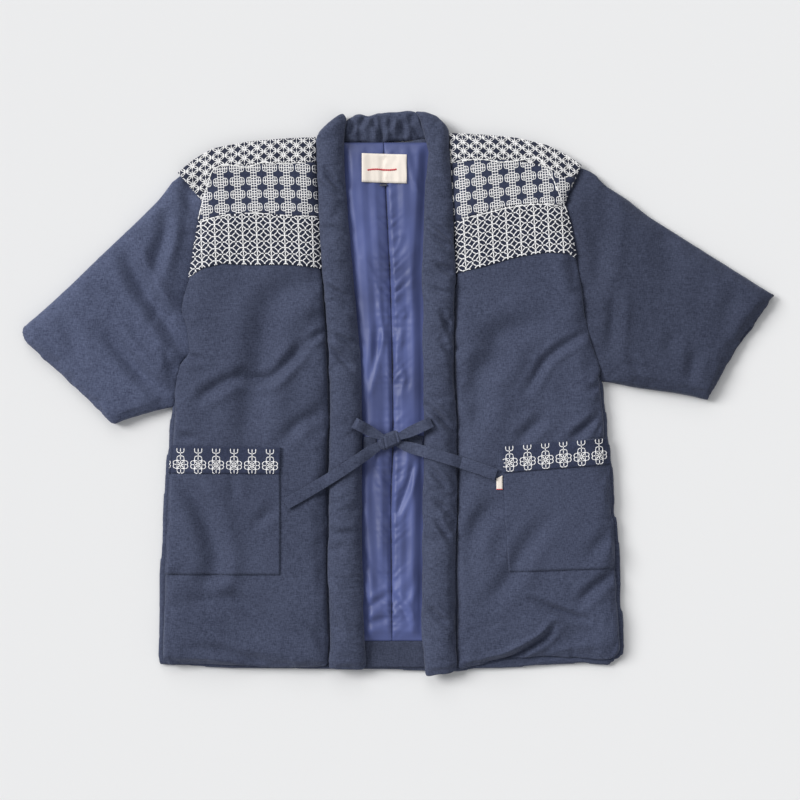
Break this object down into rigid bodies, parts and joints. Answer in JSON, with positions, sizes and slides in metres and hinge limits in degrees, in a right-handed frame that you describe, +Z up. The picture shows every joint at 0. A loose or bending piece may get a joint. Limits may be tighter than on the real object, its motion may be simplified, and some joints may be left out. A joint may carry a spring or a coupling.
{
  "type": "padded hanten jacket",
  "caption": "Padded short jacket laid flat on its back, with stitched yoke strips, patch pockets, a long collar band and a cloth tie in a bow.",
  "frame": {"origin": "middle of the laid garment's box, on the surface it lies on", "axes": "+X to the wearer's left sleeve, +Y from hem to collar, +Z up off the surface"},
  "size_m": [1.0421, 0.781, 0.0326],
  "materials": {
    "outer_cloth": "navy chambray cotton, woven, matt",
    "stitched_cloth": "navy cotton with raised off-white thread stitched in old sashiko patterns",
    "lining_satin": "blue lining satin with a soft sheen",
    "label_cloth": "bare woven label tape"
  },
  "bodies": {
    "root": {"back": "outer_cloth", "front_right": "outer_cloth", "front_left": "outer_cloth", "sleeve_right": "outer_cloth", "sleeve_left": "outer_cloth", "collar_right": "outer_cloth", "collar_neck": "outer_cloth", "collar_left": "outer_cloth", "yoke_top_right": "stitched_cloth", "yoke_middle_right": "stitched_cloth", "yoke_bottom_right": "stitched_cloth", "yoke_top_left": "stitched_cloth", "yoke_middle_left": "stitched_cloth", "yoke_bottom_left": "stitched_cloth", "pocket_right": "outer_cloth", "pocket_left": "outer_cloth", "pocket_band_right": "stitched_cloth", "pocket_band_left": "stitched_cloth", "lining_right": "lining_satin", "lining_left": "lining_satin", "hem_facing": "outer_cloth", "neck_label": "label_cloth", "size_tab": "label_cloth", "pocket_tag": "label_cloth", "tie_knot": "outer_cloth", "tie_root_right": "outer_cloth", "tie_root_left": "outer_cloth", "tie_loop_right": "outer_cloth", "tie_loop_left": "outer_cloth", "tie_tail_right": "outer_cloth", "tie_tail_left": "outer_cloth"}
  },
  "joints": []
}
